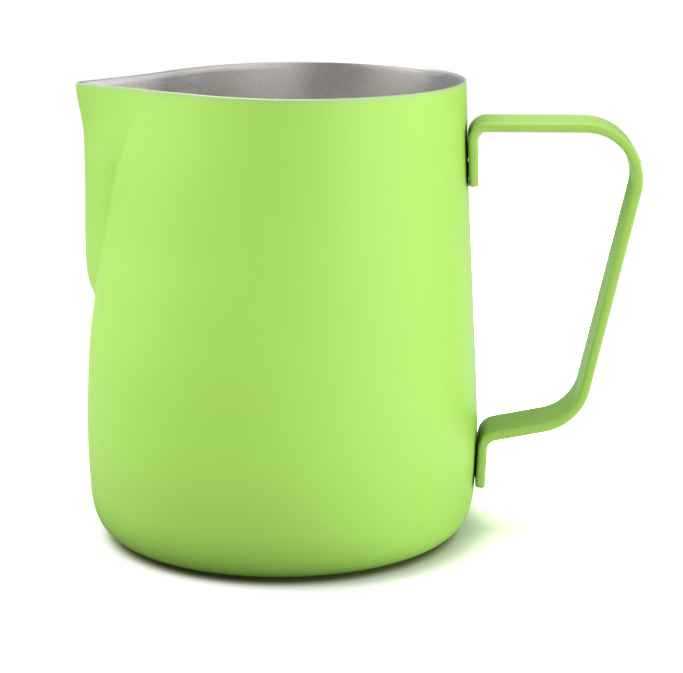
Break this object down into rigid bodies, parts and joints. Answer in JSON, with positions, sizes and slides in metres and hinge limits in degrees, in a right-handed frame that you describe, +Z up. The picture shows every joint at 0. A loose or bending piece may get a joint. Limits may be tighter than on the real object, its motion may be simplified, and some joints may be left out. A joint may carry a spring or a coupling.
{
  "type": "milk frothing pitcher",
  "caption": "Tapered steel milk frothing pitcher with a pressed pouring spout, rounded lip, powder-coated outside and a welded flat-strap handle.",
  "frame": {"origin": "centre of the base, on the surface it stands on", "axes": "+Z up, +X from the cup's axis towards the handle, -X towards the pouring spout"},
  "size_m": [0.1309, 0.0926, 0.1078],
  "materials": {
    "bare_steel": "satin brushed stainless, fine grain round the wall",
    "powder_coat": "smooth satin lime-green powder coat",
    "strap_steel": "mill-finish stainless strip, under the coat",
    "handle_powder_coat": "smooth satin lime-green powder coat",
    "weld_metal": "resistance spot weld nugget, slightly dulled"
  },
  "bodies": {
    "root": {"body_shell": "bare_steel", "body_coating": "powder_coat", "handle_strap": "strap_steel", "handle_coating": "handle_powder_coat", "upper_weld_top": "weld_metal", "upper_weld_bottom": "weld_metal", "lower_weld_top": "weld_metal", "lower_weld_bottom": "weld_metal"}
  },
  "joints": []
}
